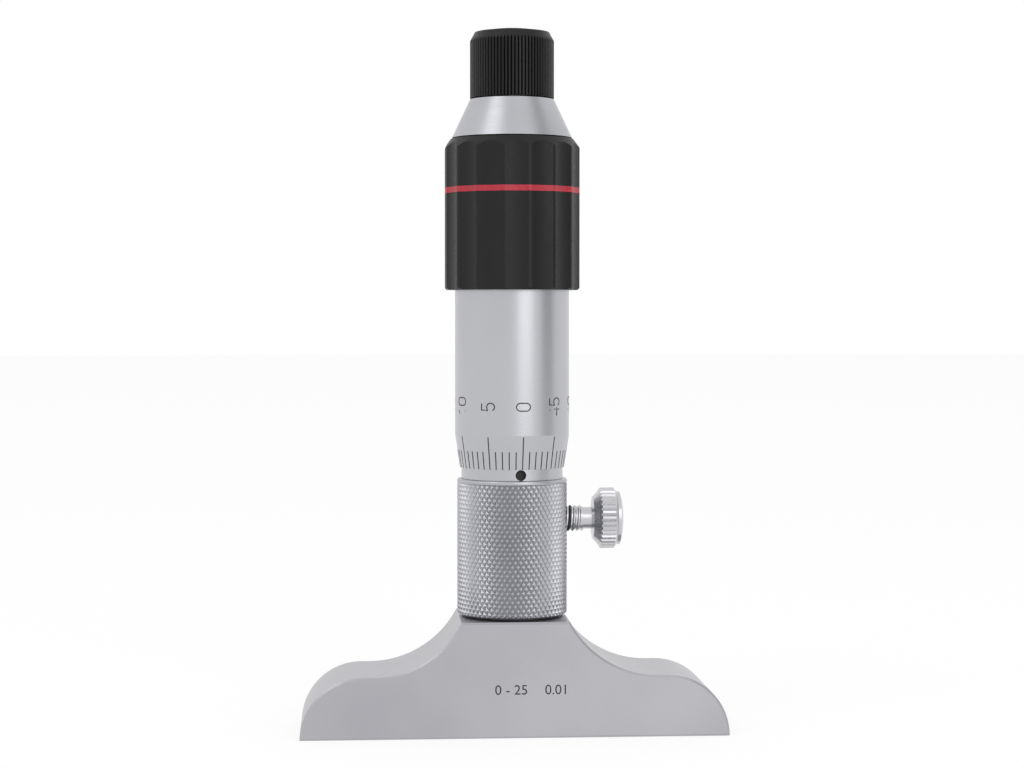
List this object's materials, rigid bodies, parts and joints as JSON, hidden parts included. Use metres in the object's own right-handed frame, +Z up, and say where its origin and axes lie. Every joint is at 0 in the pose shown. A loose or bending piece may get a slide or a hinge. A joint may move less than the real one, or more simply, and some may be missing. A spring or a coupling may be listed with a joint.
{
  "type": "depth micrometer",
  "caption": "Depth micrometer: ground measuring base, knurled collar with clamp screw, graduated thimble that screws down a hollow spindle, fluted grip, end cone and ratchet knob.",
  "frame": {"origin": "middle of the base's flat measuring face, on the spindle's axis", "axes": "+Z up the spindle towards the ratchet knob, +X along the base towards the clamp screw, -Y towards the reader"},
  "size_m": [0.0636, 0.02, 0.105],
  "materials": {
    "ground_steel": "fine ground, satin",
    "satin_steel": "satin",
    "satin_chrome": "matt chrome",
    "plain_steel": "turned",
    "spring_steel": "drawn wire",
    "bright_steel": "bright turned",
    "blackened_steel": "blackened",
    "black_grip": "satin black",
    "black_knob": "satin black",
    "red_ring": "satin red",
    "brass": "turned"
  },
  "bodies": {
    "stand": {"base_bar": "ground_steel", "barrel": "blackened_steel", "knurled_collar": "satin_steel", "adjusting_nut": "plain_steel"},
    "scale_sleeve": {"graduated_sleeve": "satin_chrome"},
    "screw_spindle": {"spindle": "plain_steel"},
    "thimble_unit": {"thimble": "satin_chrome", "thimble_nut": "plain_steel", "lower_grip": "black_grip", "colour_ring": "red_ring", "upper_grip": "black_grip", "end_cone": "satin_steel", "ratchet_seat": "plain_steel", "pivot_screw": "plain_steel"},
    "knob_unit": {"ratchet_knob": "black_knob", "knob_cap": "black_knob", "thrust_washer": "plain_steel"},
    "ratchet_clutch": {"ratchet_disc": "plain_steel", "ratchet_spring": "spring_steel"},
    "clamp_follower": {"clamp_pad": "brass"},
    "clamp_wheel": {"clamp_screw": "bright_steel"}
  },
  "joints": [
    {"name": "spindle_travel", "type": "slide", "parent": "stand", "child": "screw_spindle", "axis": [0, 0, 1], "range_m": [0, 0.025]},
    {"name": "thimble_turn", "type": "hinge", "parent": "screw_spindle", "child": "thimble_unit", "pos_m": [0, 0, 0.076], "axis": [0, 0, 1], "range_deg": [0, 18000]},
    {"name": "ratchet_turn", "type": "hinge", "parent": "thimble_unit", "child": "knob_unit", "pos_m": [0, 0, 0.098], "axis": [0, 0, 1], "continuous": true},
    {"name": "ratchet_lift", "type": "slide", "parent": "knob_unit", "child": "ratchet_clutch", "axis": [0, 0, 1], "range_m": [0, 0.00055], "stiffness_N_per_m": 400, "springref_m": -0.002, "deforming": ["ratchet_spring"]},
    {"name": "pad_travel", "type": "slide", "parent": "stand", "child": "clamp_follower", "axis": [1, 0, 0], "range_m": [-0.0003, 0.0007]},
    {"name": "clamp_turn", "type": "hinge", "parent": "clamp_follower", "child": "clamp_wheel", "pos_m": [0.012, 0, 0.0317], "axis": [1, 0, 0], "range_deg": [-154.3, 360]},
    {"name": "zero_setting", "type": "hinge", "parent": "stand", "child": "scale_sleeve", "pos_m": [0, 0, 0.05], "axis": [0, 0, 1], "range_deg": [-7.2, 7.2]}
  ],
  "couplings": [
    {"joint": "thimble_turn", "follows": "spindle_travel", "rad_per_m": 12566},
    {"joint": "clamp_turn", "follows": "pad_travel", "rad_per_m": 8976}
  ]
}
